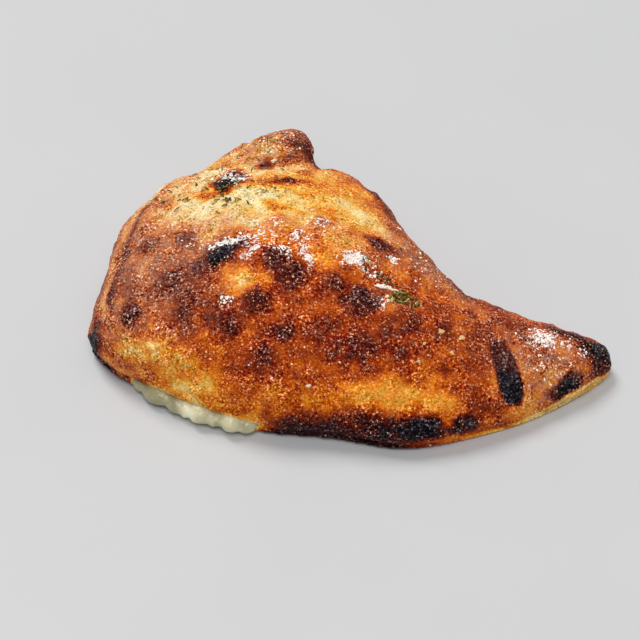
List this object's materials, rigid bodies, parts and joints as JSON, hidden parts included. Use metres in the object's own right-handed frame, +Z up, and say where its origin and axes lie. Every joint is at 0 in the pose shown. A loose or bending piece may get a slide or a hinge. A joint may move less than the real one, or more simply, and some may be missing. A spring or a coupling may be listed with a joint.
{
  "type": "calzone",
  "caption": "Baked calzone: blistered folded pizza dough with cheese showing at a gap in its seal, tapering to a thin end.",
  "frame": {"origin": "on the surface that the calzone rests on, under the middle of its box", "axes": "+X along its length to the thin end, -Y towards the sealed side where the cheese shows, +Z up"},
  "size_m": [0.253, 0.1859, 0.0557],
  "materials": {
    "crust": "satin",
    "filling": "satin"
  },
  "bodies": {
    "root": {"crust": "crust", "filling": "filling"}
  },
  "joints": []
}
